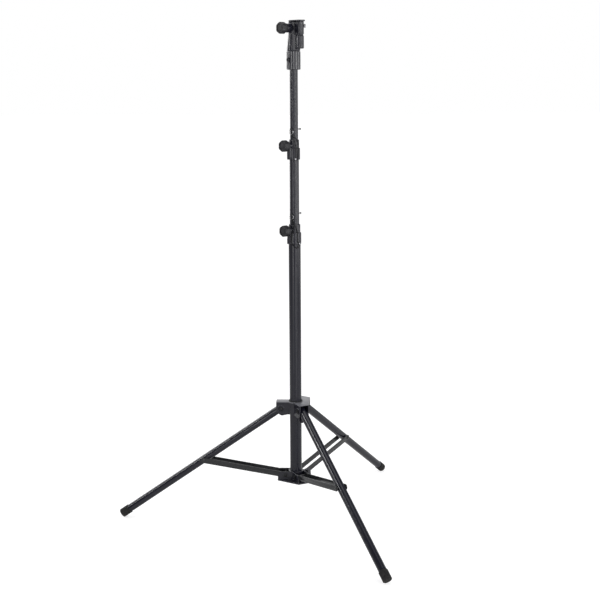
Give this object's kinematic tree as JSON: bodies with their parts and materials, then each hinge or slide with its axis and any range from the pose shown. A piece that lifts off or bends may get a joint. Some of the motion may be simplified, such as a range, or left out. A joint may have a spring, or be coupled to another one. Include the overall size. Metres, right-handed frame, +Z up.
{
  "type": "light stand",
  "caption": "Black folding light stand: round legs with flat braces, a telescoping column with hand-knob clamps and tethered safety pins, and a stand head with two spigot sockets.",
  "frame": {"origin": "on the ground, at the middle of the footprint", "axes": "+Z up the column; leg A points along -X; the viewer of the picture looks along +Y"},
  "size_m": [1.0544, 1.2124, 1.9015],
  "materials": {
    "powder_coat_black": "satin black powder coat",
    "cast_black": "black paint on a casting",
    "steel_bar_black": "satin black paint",
    "hub_plate_grey": "dark grey satin",
    "knob_plastic_black": "moulded, matt",
    "nylon_black": "plain",
    "rubber_black": "matt",
    "bolt_steel_black": "blackened",
    "pin_steel": "bright, turned",
    "screw_steel": "zinc plated",
    "cord_black": "smooth sheathed cord"
  },
  "bodies": {
    "column": {"column_lower_tube": "powder_coat_black", "lower_clamp_collar": "cast_black", "lower_collar_bush": "nylon_black", "lower_lanyard_eyelet": "screw_steel", "lower_eyelet_rivet": "bolt_steel_black", "lower_lanyard": "cord_black", "bracket": "cast_black", "bracket_bolt_a": "bolt_steel_black", "bracket_bolt_b": "bolt_steel_black", "bracket_bolt_c": "bolt_steel_black"},
    "middle_stage": {"column_middle_tube": "powder_coat_black", "middle_tube_foot_plug": "nylon_black", "upper_clamp_collar": "cast_black", "upper_collar_bush": "nylon_black", "upper_lanyard_eyelet": "screw_steel", "upper_eyelet_rivet": "bolt_steel_black", "upper_lanyard": "cord_black"},
    "top_stage": {"column_top_tube": "powder_coat_black", "top_tube_foot_plug": "nylon_black", "head_casting": "cast_black", "head_cap_plate": "cast_black", "head_set_screw": "bolt_steel_black", "head_side_screw": "screw_steel"},
    "lower_knob": {"lower_collar_knob": "knob_plastic_black"},
    "upper_knob": {"upper_collar_knob": "knob_plastic_black"},
    "head_clamp_knob": {"head_knob": "knob_plastic_black"},
    "hub": {"hub_casting": "cast_black", "hub_bush": "nylon_black", "hub_top_plate": "hub_plate_grey", "leg_pivot_bolt_a": "bolt_steel_black", "leg_pivot_bolt_b": "bolt_steel_black", "leg_pivot_bolt_c": "bolt_steel_black"},
    "hub_lock_knob": {"hub_knob": "knob_plastic_black"},
    "lower_pin": {"lower_safety_pin": "pin_steel", "lower_pin_grip": "knob_plastic_black", "lower_pin_ring": "pin_steel"},
    "upper_pin": {"upper_safety_pin": "pin_steel", "upper_pin_grip": "knob_plastic_black", "upper_pin_ring": "pin_steel"},
    "leg_arm_a": {"leg_a": "powder_coat_black", "foot_cap_a": "rubber_black", "brace_bolt_a": "bolt_steel_black"},
    "leg_arm_b": {"leg_b": "powder_coat_black", "foot_cap_b": "rubber_black", "brace_bolt_b": "bolt_steel_black"},
    "leg_arm_c": {"leg_c": "powder_coat_black", "foot_cap_c": "rubber_black", "brace_bolt_c": "bolt_steel_black"},
    "brace_a": {"brace_bar_a_left": "steel_bar_black", "brace_bar_a_right": "steel_bar_black"},
    "brace_b": {"brace_bar_b_left": "steel_bar_black", "brace_bar_b_right": "steel_bar_black"},
    "brace_c": {"brace_bar_c_left": "steel_bar_black", "brace_bar_c_right": "steel_bar_black"}
  },
  "joints": [
    {"name": "hub_slide", "type": "slide", "parent": "column", "child": "hub", "axis": [0, 0, 1], "range_m": [0, 0.4252]},
    {"name": "leg_a_fold", "type": "hinge", "parent": "hub", "child": "leg_arm_a", "pos_m": [0.11288, 0, 0.45021], "axis": [0, -1, 0], "range_deg": [0, 52.3]},
    {"name": "leg_b_fold", "type": "hinge", "parent": "hub", "child": "leg_arm_b", "pos_m": [0.19688, -0.0485, 0.45021], "axis": [0.866, 0.5, 0], "range_deg": [0, 52.3]},
    {"name": "leg_c_fold", "type": "hinge", "parent": "hub", "child": "leg_arm_c", "pos_m": [0.19688, 0.0485, 0.45021], "axis": [-0.866, 0.5, 0], "range_deg": [0, 52.3]},
    {"name": "brace_a_fold", "type": "hinge", "parent": "column", "child": "brace_a", "pos_m": [0.12888, 0, 0.18583], "axis": [0, 1, 0], "range_deg": [0, 74.03]},
    {"name": "brace_b_fold", "type": "hinge", "parent": "column", "child": "brace_b", "pos_m": [0.18888, -0.03464, 0.18583], "axis": [-0.866, -0.5, 0], "range_deg": [0, 74.03]},
    {"name": "brace_c_fold", "type": "hinge", "parent": "column", "child": "brace_c", "pos_m": [0.18888, 0.03464, 0.18583], "axis": [0.866, -0.5, 0], "range_deg": [0, 74.03]},
    {"name": "middle_stage_slide", "type": "slide", "parent": "column", "child": "middle_stage", "axis": [0, 0, 1], "range_m": [-0.028, 0.47], "deforming": ["lower_lanyard"]},
    {"name": "top_stage_slide", "type": "slide", "parent": "middle_stage", "child": "top_stage", "axis": [0, 0, 1], "range_m": [-0.0095, 0.17], "deforming": ["upper_lanyard"]},
    {"name": "lower_pin_pull", "type": "slide", "parent": "middle_stage", "child": "lower_pin", "axis": [-0.4226, -0.9063, 0], "range_m": [0, 0.075], "deforming": ["lower_lanyard"]},
    {"name": "upper_pin_pull", "type": "slide", "parent": "top_stage", "child": "upper_pin", "axis": [-0.4226, -0.9063, 0], "range_m": [0, 0.075], "deforming": ["upper_lanyard"]},
    {"name": "lower_knob_turn", "type": "hinge", "parent": "column", "child": "lower_knob", "pos_m": [0.14767, -0.02121, 1.13773], "axis": [-0.7071, -0.7071, 0], "range_deg": [0, 720]},
    {"name": "upper_knob_turn", "type": "hinge", "parent": "middle_stage", "child": "upper_knob", "pos_m": [0.14767, -0.02121, 1.45122], "axis": [-0.7071, -0.7071, 0], "range_deg": [0, 720]},
    {"name": "head_knob_turn", "type": "hinge", "parent": "top_stage", "child": "head_clamp_knob", "pos_m": [0.14251, -0.02637, 1.87322], "axis": [-0.7071, -0.7071, 0], "range_deg": [0, 720]},
    {"name": "hub_knob_turn", "type": "hinge", "parent": "hub", "child": "hub_lock_knob", "pos_m": [0.19968, 0, 0.40891], "axis": [1, 0, 0], "range_deg": [0, 720]}
  ],
  "couplings": [
    {"joint": "leg_a_fold", "follows": "hub_slide", "rad_per_m": 2.1463},
    {"joint": "leg_b_fold", "follows": "hub_slide", "rad_per_m": 2.1463},
    {"joint": "leg_c_fold", "follows": "hub_slide", "rad_per_m": 2.1463},
    {"joint": "brace_a_fold", "follows": "hub_slide", "rad_per_m": 3.0379},
    {"joint": "brace_b_fold", "follows": "hub_slide", "rad_per_m": 3.0379},
    {"joint": "brace_c_fold", "follows": "hub_slide", "rad_per_m": 3.0379}
  ]
}
